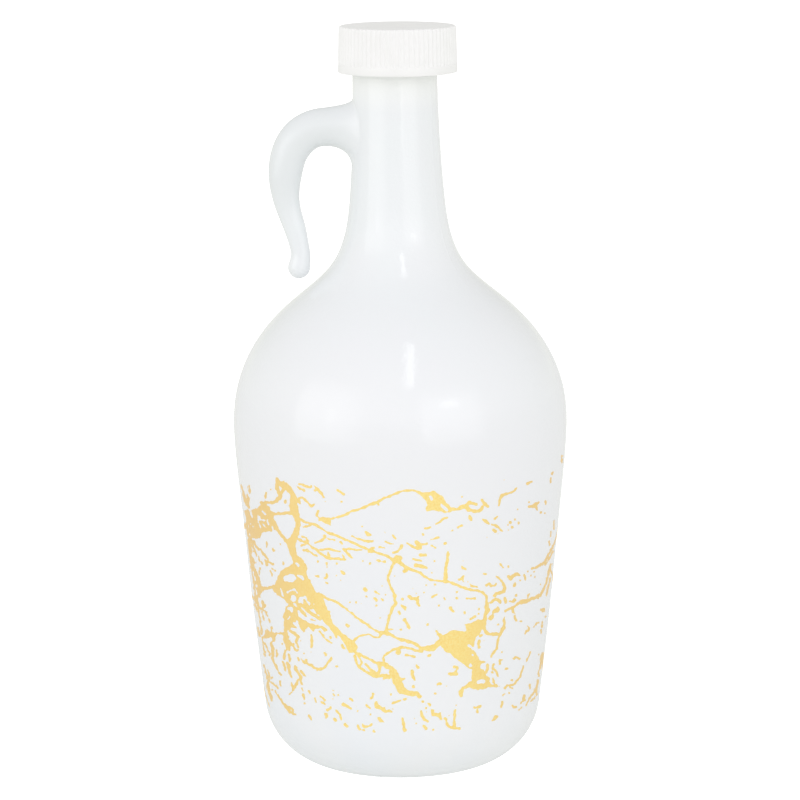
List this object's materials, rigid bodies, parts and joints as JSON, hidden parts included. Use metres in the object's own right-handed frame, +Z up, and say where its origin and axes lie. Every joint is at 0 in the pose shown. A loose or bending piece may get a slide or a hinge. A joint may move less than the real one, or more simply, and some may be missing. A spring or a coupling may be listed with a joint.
{
  "type": "glass jug bottle",
  "caption": "Opaque white glass jug bottle with a tapered round body, a slim neck, an open-ended hook handle, a ribbed screw cap and a gold vein print.",
  "frame": {"origin": "centre of the base, on the surface that the bottle stands on", "axes": "+Z up the bottle to the cap, the handle towards -X, the front towards -Y"},
  "size_m": [0.1258, 0.1258, 0.28],
  "materials": {
    "white_glass": "opaque white glass, glossy",
    "cap_plastic": "moulded, satin",
    "gold_print": "metallic gold print on the glass"
  },
  "bodies": {
    "root": {"bottle": "white_glass", "cap": "cap_plastic"}
  },
  "joints": []
}
